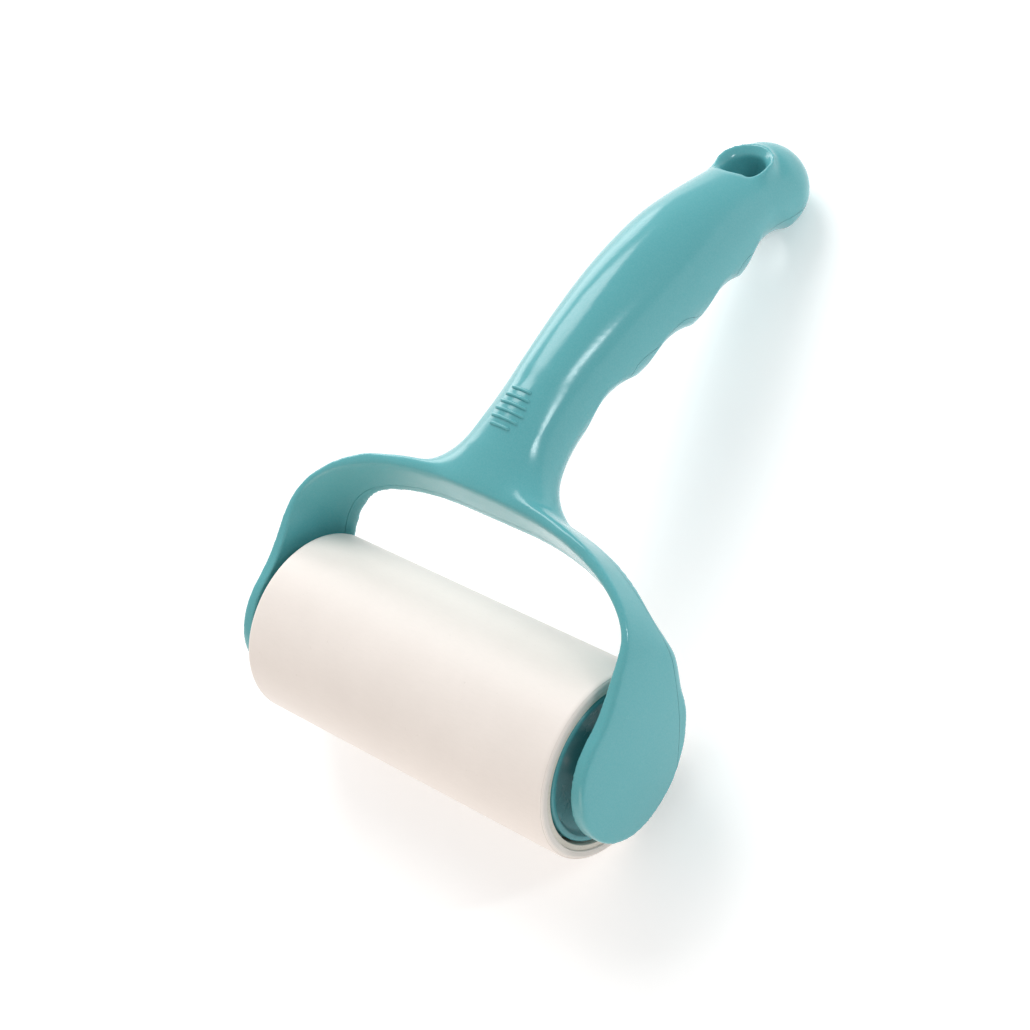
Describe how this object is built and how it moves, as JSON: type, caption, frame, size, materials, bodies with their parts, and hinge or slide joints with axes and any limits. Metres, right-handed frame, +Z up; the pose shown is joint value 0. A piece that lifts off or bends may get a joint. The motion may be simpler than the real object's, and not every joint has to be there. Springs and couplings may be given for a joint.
{
  "type": "lint roller",
  "caption": "Hand-held lint roller: a curved, finger-grooved handle ends in a fork that holds a replaceable roll of sticky sheets, which spins freely on its axle and lifts out for refilling.",
  "frame": {"origin": "centre of the sticky roll, on the axle's axis and midway between the fork's arms", "axes": "+X along the axle, +Y from the roll towards the handle's end, +Z up, away from the table the tool lies on with its thumb ribs uppermost"},
  "size_m": [0.1172, 0.1875, 0.0605],
  "materials": {
    "handle_plastic": "glossy moulded teal",
    "drum_plastic": "glossy moulded teal",
    "sheet_paper": "off-white adhesive-coated paper, satin",
    "cardboard": "plain grey-brown cardboard, matt",
    "axle_steel": "drawn bright steel",
    "screw_steel": "zinc-plated steel"
  },
  "bodies": {
    "handle": {"front_shell": "handle_plastic", "rear_cover": "handle_plastic", "cover_screws": "screw_steel"},
    "axle": {"axle_rod": "axle_steel", "thrust_washers": "axle_steel", "axle_clips": "axle_steel"},
    "roller": {"drum_tube": "drum_plastic", "left_end_cap": "drum_plastic", "right_end_cap": "drum_plastic", "core_tube": "cardboard", "sheet_roll": "sheet_paper", "outer_sheet": "sheet_paper"}
  },
  "joints": [
    {"name": "roller_release", "type": "slide", "parent": "handle", "child": "axle", "axis": [0, -1, 0], "range_m": [0, 0.06]},
    {"name": "roller_spin", "type": "hinge", "parent": "axle", "child": "roller", "pos_m": [0, 0, 0], "axis": [1, 0, 0], "continuous": true}
  ]
}
